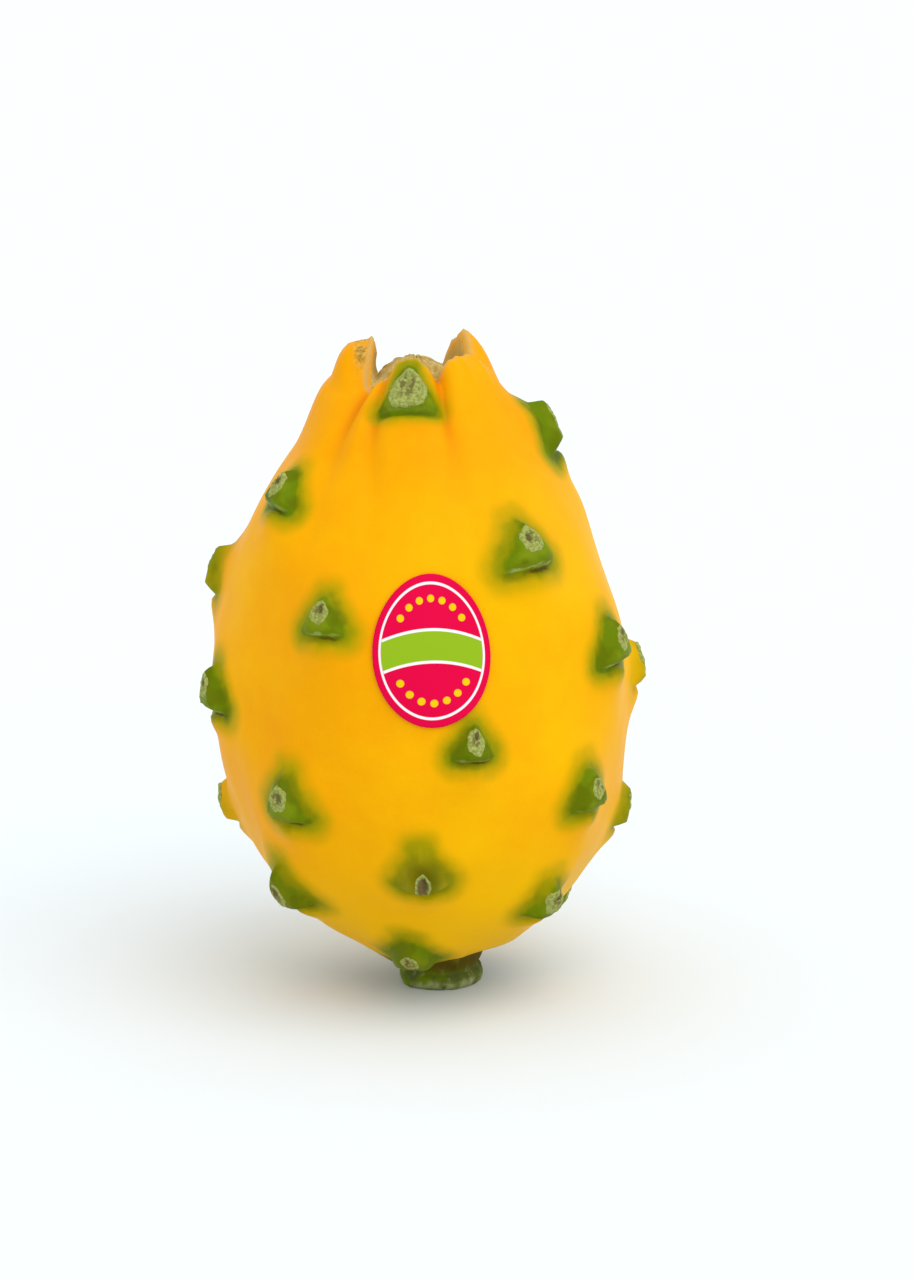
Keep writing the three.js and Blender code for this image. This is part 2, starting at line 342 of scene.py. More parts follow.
def closed_piece(
    name: str, surface: Surface, faces: list[Array], finish: bpy.types.Material
) -> bpy.types.Object:
    """Puts points and faces into a smooth-shaded mesh object that rides on the fruit's body.

    Args:
        name: the piece's name.
        surface: its points in millimetres and its masks.
        faces: arrays of point numbers, one row for each face.
        finish: its material.

    Returns:
        The new object.
    """
    corners = np.concatenate([part.reshape(-1) for part in faces]).astype(np.int32)
    sides = np.concatenate([np.full(len(part), part.shape[1]) for part in faces])
    starts = np.concatenate([[0], np.cumsum(sides)[:-1]]).astype(np.int32)
    mesh = bpy.data.meshes.new(name)
    mesh.vertices.add(len(surface.points))
    mesh.vertices.foreach_set("co", (surface.points * MM).astype(np.float32).ravel())
    mesh.loops.add(len(corners))
    mesh.loops.foreach_set("vertex_index", corners)
    mesh.polygons.add(len(starts))
    mesh.polygons.foreach_set("loop_start", starts)
    mesh.update(calc_edges=True)
    mesh.shade_smooth()
    for mask, values in surface.masks.items():
        attribute = mesh.attributes.new(mask, "FLOAT", "POINT")
        attribute.data.foreach_set("value", values.astype(np.float32))
    mesh.materials.append(finish)
    piece = linked(name, mesh)
    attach(piece, "root")
    return piece


@dataclass(frozen=True)
class Site:
    """Places on the bare outline's surface, with their directions outwards, up the skin and off it."""

    azimuth: Array
    way: Array
    radius: Array
    height: Array
    out: Array
    up: Array
    normal: Array

    @property
    def points(self) -> Array:
        """The places in millimetres, on a centre line that stands straight."""
        return self.out * self.radius[..., None] + self.height[..., None] * np.array([0.0, 0.0, 1.0])


@dataclass(frozen=True)
class Outline:
    """The bare outline of the fruit, as radius against height, and the lean of its centre line."""

    foot_radius: float = 8.0
    belly_radius: float = 37.0
    belly_height: float = 54.0
    rim_radius: float = 9.9
    rim_height: float = 111.0
    scar_height: float = 115.2
    lean: float = 4.5
    lean_height: float = 35.0
    steps: int = 24

    @cached_property
    def knots(self) -> Array:
        """Radius and height of the points that the outline passes through, from the foot up to the scar."""
        foot, belly, rim, scar = self.foot_radius, self.belly_radius, self.rim_height, self.scar_height
        stub = [(0, 0), (foot - 0.7, 0), (foot, 0.8), (foot - 0.3, 2.2), (foot - 0.8, 3.4), (9.4, 4.3)]
        lower = [(14.2, 7.4), (20.5, 12.5), (28, 20.5), (33.6, 30), (belly - 0.4, self.belly_height - 12)]
        upper = [(belly, self.belly_height), (35.8, 67), (32.8, 79), (27.6, 91), (21.6, 100.5), (16.2, 107.2)]
        crown = [(12.7, rim - 0.8), (self.rim_radius, rim), (7.4, rim + 0.4)]
        dome = [(4.6, scar - 1.4), (1.8, scar - 0.2), (0, scar)]
        return np.array(stub + lower + upper + crown + dome, float)

    @cached_property
    def curve(self) -> Array:
        """The outline as many points: a Catmull-Rom curve through the knots."""
        padded = np.vstack([self.knots[:1], self.knots, self.knots[-1:]])
        a, b, c, d = (padded[i : len(padded) - 3 + i, None, :] for i in range(4))
        t = np.linspace(0.0, 1.0, self.steps, endpoint=False)[None, :, None]
        bends = (2 * a - 5 * b + 4 * c - d) * t**2 + (-a + 3 * b - 3 * c + d) * t**3
        points = 0.5 * (2 * b + (c - a) * t + bends)
        return np.maximum(np.vstack([points.reshape(-1, 2), self.knots[-1:]]), 0.0)

    @cached_property
    def along(self) -> Array:
        """The way along the outline at which each point of the curve lies."""
        return np.concatenate([[0.0], np.cumsum(np.linalg.norm(np.diff(self.curve, axis=0), axis=1))])

    @property
    def length(self) -> float:
        """The whole way from the foot's centre to the scar's centre."""
        return float(self.along[-1])

    def at(self, way: Array) -> tuple[Array, Array]:
        """Radius and height at a way along the outline."""
        return np.interp(way, self.along, self.curve[:, 0]), np.interp(way, self.along, self.curve[:, 1])

    def site(self, azimuth: Array, way: Array) -> Site:
        """Places on the surface that the outline sweeps round the fruit.

        The outline's direction comes from the points a little way before and after.

        Args:
            azimuth: azimuths in radians.
            way: ways along the outline, of the same shape.

        Returns:
            The places and their directions.
        """
        radius, height = self.at(way)
        (r1, z1), (r0, z0) = self.at(way + 0.2), self.at(way - 0.2)
        size = np.hypot(r1 - r0, z1 - z0) + 1e-12
        outward, upward = (r1 - r0) / size, (z1 - z0) / size
        flat = np.zeros_like(azimuth)
        out = np.stack([np.sin(azimuth), -np.cos(azimuth), flat], axis=-1)
        up = out * outward[..., None] + np.stack([flat, flat, upward], axis=-1)
        normal = out * upward[..., None] - np.stack([flat, flat, outward], axis=-1)
        return Site(azimuth, way, radius, height, out, up, normal)

    def way_at(self, height: float) -> float:
        """The way along the outline at which its outer side reaches a height."""
        outer = (self.curve[:, 1] >= height) & (self.curve[:, 0] > self.foot_radius)
        return float(self.along[np.argmax(outer)])

    def shift(self, height: Array) -> Array:
        """How far the centre line has leaned to -X at a height."""
        return -self.lean * (1.0 - np.exp(-height / self.lean_height))


@dataclass(frozen=True)
class Tubercle:
    """A bump with a triangular cap: azimuth and turn in degrees, height of its centre, and a mound under it.

    Green runs from 0 for golden to 1 or a little more. Age is that of the felt pad on the cap, from 0 for
    pale to 1 for dried, and areole is the pad's size. Width is a further factor across the bump, and tilt
    leans its face forward.
    """

    azimuth: float
    height: float
    size: float
    turn: float
    mound: float
    green: float
    age: float
    areole: float
    width: float = 1.0
    tilt: float = 0.08


@dataclass(frozen=True)
class Horn:
    """A fleshy horn by the flower scar: azimuth and half width in degrees, and lift.

    Its crest and reach are the bare radii where it is still full and where it has run into the body. Its
    squareness is the power of the bell across it, and it leans in by a share of its lift.
    """

    azimuth: float
    half_width: float
    lift: float
    crest: float
    reach: float
    squareness: float
    lean: float


@dataclass(frozen=True)
class Patch:
    """A soft patch of relief or colour on a cap's axes: a bell across it times a bell up it."""

    strength: float
    u: float
    w: float
    half_width: float
    half_height: float
    across_power: float = 2.0
    up_power: float = 2.0

    def at(self, u: Array, w: Array) -> Array:
        """Its strength at places across and up the cap."""
        across = bell(u - self.u, self.half_width, self.across_power)
        return self.strength * across * bell(w - self.w, self.half_height, self.up_power)


@dataclass(frozen=True)
class Cap:
    """The cap of a tubercle of size 1, on its own axes: u across it, and w up it towards the crown.

    The core is a smaller triangle inside the cap, which its green spreads from. Swell, cushion, crease, dip
    and hang are relief, and above and below are colour; lip is a painted highlight along the lower lip, and
    shadow is painted shadow under it.
    """

    top: float = 4.7
    bottom: float = -2.6
    half_width: float = 4.6
    lift: float = 2.3
    rise: float = 0.15
    side_slope: float = 1.8
    lip_slope: float = 0.8
    rounding: float = 4.0
    arch: float = 1.4
    core_top: float = 2.9
    core_bottom: float = -2.1
    core_half_width: float = 3.5
    halo_reach: float = 6.2
    swell: Patch = Patch(0.8, 0, 0, 13, 16)
    cushion: Patch = Patch(1.3, 0, -5.2, 3.8, 2.6)
    crease: Patch = Patch(0.75, 0, -3.5, 3.9, 0.75, 4)
    dip: Patch = Patch(0.45, 0, 1, 1.3, 1.7)
    hang: Patch = Patch(0.8, 0, -2.1, 3.8, 0.9, 4)
    above: Patch = Patch(1, 0, 3.8, 4, 4.8, 3, 3)
    below: Patch = Patch(0.7, 0.4, -4.4, 2.6, 2)
    # Painted highlight along the lower lip, and painted shadow under it, as colour patches.
    lip: Patch = Patch(1, 0, -2.3, 3.3, 1.6, 6, 4)
    shadow: Patch = Patch(1, 1.2, -3, 1.9, 1.6, 4, 4)

    def from_core(self, u: Array, w: Array) -> Array:
        """The distance from the core: to its slanting side or its lower side, whichever is nearer.

        Args:
            u, w: places across and up the cap.

        Returns:
            The distances, which are 0 inside the core.
        """
        corner = np.array([self.core_half_width, self.core_bottom - self.core_top])
        across, down = np.abs(u), w - self.core_top
        share = np.clip((across * corner[0] + down * corner[1]) / (corner @ corner), 0.0, 1.0)
        to_side = np.hypot(across - share * corner[0], down - share * corner[1])
        to_lip = np.hypot(np.maximum(across - self.core_half_width, 0.0), w - self.core_bottom)
        inside = (across * corner[1] - down * corner[0] > 0.0) & (w > self.core_bottom)
        return np.where(inside, 0.0, np.minimum(to_side, to_lip))

    def share(self, u: Array, w: Array) -> Array:
        """How far up its slopes a place on the cap is.

        The two sides bow out a little to meet in the cap's top. The share is a soft least of the distances
        inside the sides and above the lip, each over its slope's width.

        Args:
            u, w: places across and up the cap.

        Returns:
            0 on the triangle's edge, and 1 and more on its platform.
        """
        height = self.top - self.bottom
        aside = np.abs(u) / self.half_width
        lean = self.arch * height / self.half_width * aside ** (self.arch - 1.0)
        side = (self.top - w - height * aside**self.arch) / np.hypot(1.0, lean)
        parts = np.exp(-self.rounding * side / self.side_slope)
        parts += np.exp(-self.rounding * (w - self.bottom) / self.lip_slope)
        return -np.log(parts) / self.rounding

    def relief(self, u: Array, w: Array) -> Array:
        """Height of the platform, which rises a little towards its lower lip."""
        tilt = 1.0 - self.rise + self.rise * (self.top - w) / (self.top - self.bottom)
        return self.lift * tilt * smooth(self.share(u, w), -0.35, 1.0)


TUBERCLES = (
    Tubercle(-4, 108.4, 0.62, 0, 1.2, 1.25, 0.6, 1.3, width=2.2, tilt=0),
    Tubercle(93, 100.4, 1.1, 8, 1.9, 1.4, 0.6, 0.75, tilt=0.45),
    Tubercle(-56, 92.5, 0.92, -4, 0.8, 1.2, 0.2, 0.95),
    Tubercle(36.4, 84.4, 1.12, 5, 1.6, 1, 0.5, 0.85, width=1.1),
    Tubercle(-26.2, 73.8, 0.92, 0, 1.6, 1.05, 0.5, 0.86),
    Tubercle(66, 65.9, 1.05, 2, 1.3, 1.2, 0.2, 0.8),
    Tubercle(-72, 56.3, 1.05, 0, 1.45, 1.15, 0.6, 0.8),
    Tubercle(14.4, 53.4, 0.9, -2, 1.3, 1, 0.2, 0.95, width=0.93),
    Tubercle(51, 41.5, 1, 5, 1.2, 1.1, 0.2, 0.75),
    Tubercle(-37.5, 42, 1.05, -4, 1.6, 1.05, 0.6, 0.86),
    Tubercle(-0.5, 30.3, 1, 3, 1.5, 1, 1, 0.7),
    Tubercle(-50, 24, 1.1, -6, 1.6, 1, 0.8, 0.7),
    Tubercle(-10, 12.1, 1, -3, 1.7, 1.2, 0.7, 0.75),
    Tubercle(43, 22.5, 1, 8, 1.6, 1, 0.4, 1),
    Tubercle(-98, 74.4, 1.1, -6, 2.3, 0.8, 0.7, 0.7, tilt=0.2),
    Tubercle(101, 56.7, 1.05, 5, 1.9, 0.45, 0.3, 1),
    Tubercle(-104, 31.6, 0.95, -8, 2.1, 0.4, 0.3, 1),
    Tubercle(101, 31, 0.95, 6, 1.4, 0.8, 0.3, 0.8),
    Tubercle(128, 86, 0.95, 8, 1.7, 0.8, 0.4, 1),
    Tubercle(-136, 97, 1, -8, 1.7, 1, 0.3, 1.1),
    Tubercle(168, 103, 1.1, 3, 1.6, 1, 0.5, 1),
    Tubercle(-160, 80, 1.05, -5, 1.7, 1, 0.2, 1),
    Tubercle(158, 72.5, 1, 6, 1.7, 0.9, 0.6, 1),
    Tubercle(-131, 56.5, 1, -3, 1.8, 1, 0.3, 0.9),
    Tubercle(-176, 53, 1.05, -2, 1.6, 1, 0.4, 1),
    Tubercle(134, 45, 1, 5, 1.7, 1, 0.3, 1.1),
    Tubercle(-148, 35, 1.05, -8, 1.7, 1, 0.8, 1),
    Tubercle(168, 30.5, 1, 4, 1.7, 1, 0.2, 1),
    Tubercle(-114, 13.8, 1, -6, 1.6, 1, 0.4, 0.9),
    Tubercle(112, 14.5, 1, 7, 1.6, 1, 0.3, 1),
    Tubercle(-176, 13.5, 0.95, 0, 1.5, 1, 0.6, 1),
)

HORNS = (
    Horn(-93, 31, 8.4, 11.6, 17.6, 4, 0.36),
    Horn(-93, 33, 3.4, 16.5, 22.5, 3, 0),
    Horn(-4, 29, 5.6, 11.2, 17, 2.6, 0),
    Horn(53, 31, 5.2, 11.2, 18.5, 5, 0.15),
    Horn(112, 38, 9.2, 10.7, 15.8, 2.6, 0.2),
    Horn(168, 20, 2, 11.5, 20, 4, 0.15),
)


@dataclass(frozen=True)
class SkinFinish:
    """The waxy golden skin with its green tubercles, tan flower scar and grey-green stem end."""

    deep: Colour = (234, 154, 0)
    light: Colour = (242, 183, 0)
    low: Colour = (228, 176, 0)
    # furrow: painted shade, a deeper orange along the crown's furrows.
    furrow: Colour = (222, 128, 2)
    olive: Colour = (172, 146, 0)
    moss: Colour = (140, 134, 1)
    leaf: Colour = (100, 120, 0)
    platform: Colour = (122, 134, 16)
    blotch: Colour = (88, 96, 0)
    shade: Colour = (88, 82, 0)
    # lip: a painted highlight, the pale line along the caps' lower lips.
    lip: Colour = (172, 178, 104)
    # crease: painted shadow under the caps' lips; the same dark brown also rings the stem end.
    crease: Colour = (84, 66, 14)
    tan: Colour = (176, 140, 70)
    straw: Colour = (206, 184, 122)
    facet: Colour = (192, 150, 72)
    rim: Colour = (204, 166, 100)
    stem: Colour = (84, 92, 42)
    cut: Colour = (150, 152, 104)

    def material(self) -> bpy.types.Material:
        """Golden skin, then coats for the furrows, the green, the lips and creases, the stem, the scar and
        its rim.

        The skin is lighter on its lit right side as painted light, and the furrows' coat is painted shade;
        the lips get a painted highlight and the creases under them a painted shadow.

        Returns:
            The finished material.
        """
        tree = Tree("fruit_skin")
        at = tree.places()
        broad = tree.noise(at, 24.0, 1.0)
        mottle = tree.noise(at, 3.6, 3.0)
        grain = tree.noise(at, 0.7, 2.0)
        streaks = tree.noise(tree.stretch(at, (1.0, 1.0, 0.3)), 1.6, 3.0)
        halo, cap = tree.mask("green"), tree.mask("cap")
        green = (halo + (mottle - 0.5) * 0.3 * halo.step(0.0, 0.3) + (streaks - 0.5) * 0.2 * halo).clear()
        scar, rim = tree.mask("scar"), tree.mask("rim")
        stem, cut = tree.mask("stem"), tree.mask("cut")

        # Painted light: the golden skin turns lighter towards +X, the side that the key light comes from.
        painted_lit_side = tree.node("ShaderNodeSeparateXYZ", {}, {0: at}, "X").step(-0.05, 0.045)
        height = tree.node("ShaderNodeSeparateXYZ", {}, {0: at}, "Z")
        tone_and_lit_side = 0.12 + painted_lit_side * 0.5 + (broad - 0.5) * 1.3 + (mottle - 0.5) * 0.4
        blotch = tree.noise(at, 5.0, 2.0).step(0.46, 0.62) * green.step(0.55, 0.9)
        ledge = tree.mask("ledge") + (streaks - 0.5) * 1.1 + (mottle - 0.5) * 0.9
        # Painted highlight: a pale line on the caps' lower lips, as if their edges caught the light.
        painted_lip_highlight = tree.mask("lip") * abs(ledge).step(0.34, 0.04) * mottle.step(0.3, 0.6)
        # Painted shadow: dark brown in the crease under each lip.
        painted_lip_shadow = tree.mask("crease") * abs(ledge + 0.75).step(0.6, 0.15)
        bark = tree.mix(mottle.step(0.35, 0.65), self.leaf, self.stem)
        fibre = tree.noise(tree.stretch(at, (1.0, 1.0, 0.25)), 0.9, 4.0, 0.65)
        dried = tree.mix(fibre.step(0.32, 0.7), self.tan, self.straw)
        ragged = tree.mix(grain.step(0.35, 0.65), self.stem, self.rim)
        colour = tree.coats(
            tree.mix((tone_and_lit_side - height.step(0.086, 0.11) * 0.3).clear(), self.deep, self.light),
            (height.step(0.045, 0.01) * 0.8, self.low),
            # Painted shade along the furrows.
            (tree.mask("furrow").clear(), self.furrow),
            (green.step(0.04, 0.72), self.olive),
            (green.step(0.5, 0.84), self.moss),
            (green.step(0.8, 0.93), self.leaf),
            (cap * mottle.step(0.35, 0.6) * 0.7, self.platform),
            (blotch * 0.6, self.blotch),
            (tree.mask("shade") * 0.85, self.shade),
            (painted_lip_highlight * 0.7, self.lip),
            (painted_lip_shadow * 0.85, self.crease),
            (stem, tree.mix(streaks.step(0.52, 0.72), bark, self.cut)),
            (cut * streaks.step(0.3, 0.6), self.cut),
            (tree.mask("ring") * 0.9, self.crease),
            (scar, tree.mix(tree.mask("facet") * 0.8, dried, self.facet)),
            (rim * 0.9, self.rim),
            (tree.mask("torn") * streaks.step(0.42, 0.6), ragged),
        )

        dry = scar.larger(rim).larger(cut).larger(stem * 0.5)
        roughness = 0.42 + grain * 0.06 - cap * 0.08 + dry * 0.4
        rough = grain * 0.35 + mottle * 0.3 + cap * streaks + dry * fibre * 1.2
        return tree.surface(
            Base_Color=colour,
            Roughness=roughness.clear(),
            Normal=tree.bump(rough, 0.12),
            Specular_IOR_Level=0.035,
        )


@dataclass
class FruitSkin:
    """The fruit's skin, from its foot to its flower scar.

    Each furrow is an azimuth at the rim in degrees, and how much that grows in 20 mm down the fruit.
    """

    outline: Outline = field(default_factory=Outline)
    cap: Cap = field(default_factory=Cap)
    tubercles: tuple[Tubercle, ...] = TUBERCLES
    horns: tuple[Horn, ...] = HORNS
    finish: SkinFinish = field(default_factory=SkinFinish)
    furrows: tuple[tuple[float, float], ...] = (
        (-150, 0), (-112, 0), (-44, 4), (-26, 9), (20, -1), (124, 0), (148, 0), (194, 0),
    )
    furrow_depth: float = 1.1
    furrow_width: float = 2.3
    fold: float = 0.45
    fold_width: float = 0.8
    torn_azimuth: float = -82.0
    torn_radius: float = 11.7
    mound_width: float = 6.4
    mound_above: float = 5.6
    mound_below: float = 12.5
    upward_tilt: float = 0.25
    wave: float = 0.45
    lump: float = 0.16
    lump_length: float = 13.0
    crown_from: float = 100.0
    crown_to: float = 105.0
    scar_radius: float = 9.4
    dried_from: float = 0.6
    rows: int = 226
    columns: int = 440
    draw_in: float = 0.6
    draw_in_radius: float = 6.5

    def local(self, bump: Tubercle, site: Site) -> tuple[Array, Array, Array]:
        """A tubercle's own coordinates of places on the outline's surface, turned as complex numbers.

        Args:
            bump: the tubercle.
            site: the places.

        Returns:
            u across the tubercle and w up it, for a tubercle of size 1, and the distance from its centre.
        """
        centre = self.outline.way_at(bump.height)
        radius = (site.radius + self.outline.at(centre)[0]) / 2.0
        x = turn_between(site.azimuth, math.radians(bump.azimuth)) * radius
        y = site.way - centre
        turned = (x + 1j * y) * np.exp(-1j * math.radians(bump.turn)) / bump.size
        return turned.real / bump.width, turned.imag, np.hypot(x, y)

    def spread(self, bump: Tubercle, u: Array, w: Array) -> tuple[Array, Array]:
        """The places of points given in a tubercle's own coordinates: local turned round.

        Args:
            bump: the tubercle.
            u, w: places across and up it.

        Returns:
            Their azimuths and ways.
        """
        turned = (u * bump.width + 1j * w) * np.exp(1j * math.radians(bump.turn)) * bump.size
        centre = self.outline.way_at(bump.height)
        way = centre + turned.imag
        radius = (self.outline.at(way)[0] + self.outline.at(centre)[0]) / 2.0
        return math.radians(bump.azimuth) + turned.real / radius, way

    def torn_share(self, site: Site) -> Array:
        """1 where a bite is torn out of the left horn's top."""
        across = bell(turn_between(site.azimuth, math.radians(self.torn_azimuth)), 0.3, 4.0)
        return across * bell(site.radius - self.torn_radius, 0.6, 4.0)

    def horn_rise(self, site: Site) -> tuple[Array, Array]:
        """How much the horns raise the rim and draw it inwards: the highest of them at each place.

        A horn is its lift times a flat-topped bell across its azimuth. Its top wanders a little, and a notch
        is bitten out of the left one.

        Args:
            site: the places.

        Returns:
            The rise, and the way inwards.
        """
        azimuth, radius = site.azimuth, site.radius
        torn = 0.12 * np.sin(23.0 * azimuth + 1.3) + 0.1 * np.sin(41.0 * azimuth)
        notch = (0.7 + 3.0 * torn) * self.torn_share(site)
        highest, inwards = np.zeros_like(radius), np.zeros_like(radius)
        for horn in self.horns:
            across = turn_between(azimuth, math.radians(horn.azimuth)) / math.radians(horn.half_width)
            lift = (horn.lift + torn) * bell(across, 1.0, horn.squareness)
            lift = lift * (1.0 - smooth(radius, horn.crest, horn.reach))
            inwards = np.where(lift > highest, lift * horn.lean, inwards)
            highest = np.maximum(highest, lift)
        edge = smooth(radius, 7.0, 10.8)
        return np.maximum(highest - notch, 0.0) * edge, inwards * edge * (1.0 - smooth(radius, 10.5, 14.0))

    def furrow_share(self, site: Site) -> Array:
        """The depth of the crown's furrows, which fade out down the fruit and inside the rim.

        A furrow is a bell across its azimuth, with a narrow fold in its middle near the rim.

        Args:
            site: the places.

        Returns:
            1 in the middle of a furrow, or more in its fold.
        """
        deepest = np.zeros_like(site.radius)
        for start, drift in self.furrows:
            furrow = np.radians(start + drift * (self.outline.rim_height - site.height) / 20.0)
            across = turn_between(site.azimuth, furrow) * site.radius
            fold = self.fold * bell(across, self.fold_width) * smooth(site.height, 99.0, 110.0)
            deepest = np.maximum(deepest, bell(across, self.furrow_width) + fold)
        return deepest * smooth(site.height, 80.0, 108.0) * smooth(site.radius, 7.0, 10.5)

    def body(self, site: Site) -> Surface:
        """The skin without its tubercles.

        The bare outline's points move along their normals by slow waves, small lumps, the furrows and the
        scar's wrinkles. Then the horns raise them and draw them inwards.

        Args:
            site: the places.

        Returns:
            The points, and the masks of the furrows' painted shade, the scar with its rim, and the stem end.
        """
        azimuth, radius, height = site.azimuth, site.radius, site.height
        crown = smooth(height, self.crown_from, self.crown_to)
        turns = np.sin(3.0 * azimuth + 0.05 * height) + 0.6 * np.sin(5.0 * azimuth - 0.08 * height + 1.0)
        slow = self.wave * turns * smooth(height, 4.0, 22.0) * (1.0 - smooth(height, 88.0, 106.0))
        lumps = self.lump * waves(site.points, self.lump_length, 4) * smooth(height, 3.0, 9.0)
        furrow = self.furrow_share(site)
        rise, inwards = self.horn_rise(site)
        facet = smooth(rise, 0.6, 2.6)
        scar = (1.0 - smooth(radius, self.scar_radius, self.scar_radius + 0.6)) * crown
        wrinkles = 0.2 * np.sin(19.0 * azimuth + 0.9 * radius) + 0.25 * waves(site.points, 2.2, 7)
        wrinkles = wrinkles * (1.0 - smooth(radius, 5.5, 7.5)) * (1.0 - facet)
        moved = slow + lumps - self.furrow_depth * furrow + scar * wrinkles
        points = site.points + site.normal * moved[..., None] - site.out * inwards[..., None]
        points[..., 2] += rise

        ragged = 0.7 * np.sin(5.0 * azimuth + 0.5) + 0.3 * np.sin(11.0 * azimuth)
        behind = 1.0 - 0.45 * bell(turn_between(azimuth, math.radians(-4.5)), 0.5, 4.0)
        masks = {
            "green": 0.8 * (1.0 - smooth(height + ragged, 4.0, 13.0)),
            # The furrow mask carries painted shade along the grooves, as colour.
            "furrow": 0.4 * np.clip(furrow, 0.0, 1.3) ** 3 * smooth(height, 90.0, 108.0),
            "torn": self.torn_share(site) * crown,
            "scar": scar,
            "facet": facet * scar,
            "rim": bell(radius - 10.6 - 0.15 * ragged, 0.5) * crown * behind,
            "stem": 1.0 - smooth(height, 3.0, 4.6),
            "cut": 1.0 - smooth(height + 0.25 * ragged, 0.3, 1.3),
            "ring": bell(height - 3.9, 0.5) * smooth(radius, 5.0, 7.0),
        }
        return Surface(points, masks)

    def relief(self, bump: Tubercle, u: Array, w: Array) -> Array:
        """Height of a tubercle.

        It is a mound with a long lower side, a broad swell, the cap and a cushion under it, less a crease
        under the cap's lip and a dip in the middle of its platform.

        Args:
            bump: the tubercle.
            u, w: places across and up it.

        Returns:
            The heights, for a tubercle of size 1.
        """
        along = np.where(w > 0.0, w / self.mound_above, w / self.mound_below)
        mound = bump.mound * bell(u, self.mound_width) * bell(along, 1.0)
        tilted = bump.tilt * w * bell(u, 6.0) * bell(w, 7.0)
        soft = self.cap.swell.at(u, w) - 0.25 + self.cap.cushion.at(u, w)
        dents = self.cap.crease.at(u, w) + self.cap.dip.at(u, w)
        return mound + tilted + soft + self.cap.relief(u, w) - dents

    def colours(self, bump: Tubercle, u: Array, w: Array) -> dict[str, Array]:
        """The masks of a tubercle.

        Its green is the most of a halo, which dies away from the cap's core, and patches above and below. A
        dried areole makes the halo a little less, and puts a shade round itself.

        Args:
            bump: the tubercle.
            u, w: places across and up it.

        Returns:
            The masks by name.
        """
        wide = u * math.sqrt(bump.width)
        dried = max(bump.age - self.dried_from, 0.0) / (1.0 - self.dried_from)
        halo = np.minimum(1.0 - self.cap.from_core(wide, w) / self.cap.halo_reach, 1.0 - 0.25 * dried)
        above = (0.45 + 0.3 * bump.age) * self.cap.above.at(wide, w)
        most = np.maximum(halo, np.maximum(above, self.cap.below.at(wide, w)))
        return {
            "green": np.clip(bump.green * most, 0.0, 1.0),
            "shade": dried * bell(np.hypot(u - 0.5, w - 0.3), 3.0, 3.0),
            "cap": bump.green * smooth(self.cap.share(u, w), -0.1, 1.1),
            # lip is a painted highlight along the lower lip, and crease a painted shadow under it.
            "lip": np.minimum(bump.size**4 * self.cap.lip.at(u, w), 1.0),
            "crease": np.minimum(bump.size**2 * self.cap.shadow.at(u, w), 1.0),
        }

    def sample(self, azimuth: Array, way: Array) -> Surface:
        """The skin anywhere: its body, pushed out and a little up by each tubercle's relief.

        Under a cap's lip it is also drawn down along the skin, so that the lip hangs over its crease. The
        ledge is the way up from the nearest cap's lip. Last, the skin leans with its centre line.

        Args:
            azimuth: azimuths in radians.
            way: ways along the outline, of the same shape.

        Returns:
            The points in millimetres, and the masks that the finish reads.
        """
        site = self.outline.site(azimuth, way)
        skin = self.body(site)
        points, masks = skin.points, skin.masks
        masks.update({name: np.zeros_like(azimuth) for name in ("shade", "cap", "lip", "crease", "ledge")})
        clear_of_ends = smooth(site.height, 3.2, 8.5) * smooth(site.radius, 8.0, 10.5)
        raised = site.normal + self.upward_tilt * site.up
        nearest = np.full_like(azimuth, 40.0)
        for bump in self.tubercles:
            u, w, away = self.local(bump, site)
            near = clear_of_ends * (1.0 - smooth(away, 24.0, 34.0)) * bump.size
            points += raised * (near * self.relief(bump, u, w))[..., None]
            points -= site.up * (near * self.cap.hang.at(u, w))[..., None]
            for name, mask in self.colours(bump, u, w).items():
                masks[name] = np.maximum(masks[name], mask)
            masks["ledge"] = np.where(away < nearest, np.clip(w + 2.5, -4.0, 4.0), masks["ledge"])
            nearest = np.minimum(nearest, away)
        points[..., 0] += self.outline.shift(site.height)
        points[..., 2] = np.maximum(points[..., 2], 0.0)
        return skin

    def lifted(self, place: Place, across: Array, along: Array, height: Array, step: float) -> Array:
        """Points over the skin, along its normal, which comes from the skin a step to each side.

        Args:
            place: turns places across and along a piece into azimuths and ways.
            across: places across the piece.
            along: places along it.
            height: the height of each over the skin in millimetres.
            step: the step, in the piece's own units.

        Returns:
            The points in millimetres.
        """
        right, left = (self.sample(*place(across + side, along)).points for side in (step, -step))
        up, down = (self.sample(*place(across, along + side)).points for side in (step, -step))
        normal = np.cross(right - left, up - down)
        normal /= np.linalg.norm(normal, axis=-1, keepdims=True)
        return self.sample(*place(across, along)).points + normal * height[..., None]

    def grid(self) -> tuple[Array, Array]:
        """The places of the mesh's points, with the lines drawn in towards each tubercle.

        Rows are a quarter closer together at both ends. A line moves towards a tubercle by a share of its
        distance, and the share dies away as a bell.

        Returns:
            Azimuths and ways, row by row.
        """
        shares = np.linspace(0.0, 1.0, self.rows + 1)[1:-1]
        ways = self.outline.length * (shares - 0.25 * np.sin(2.0 * np.pi * shares) / (2.0 * np.pi))
        azimuths = np.linspace(0.0, 2.0 * np.pi, self.columns, endpoint=False)
        way, azimuth = np.meshgrid(ways, azimuths, indexing="ij")
        radius = np.maximum(self.outline.at(way)[0], 1.0)
        turned, moved = azimuth.copy(), way.copy()
        for bump in self.tubercles:
            x = turn_between(math.radians(bump.azimuth), azimuth)
            y = self.outline.way_at(bump.height) - way
            pull = self.draw_in * bell(np.hypot(x * radius, y), self.draw_in_radius * math.sqrt(2.0))
            turned += x * pull
            moved += y * pull
        return turned, moved

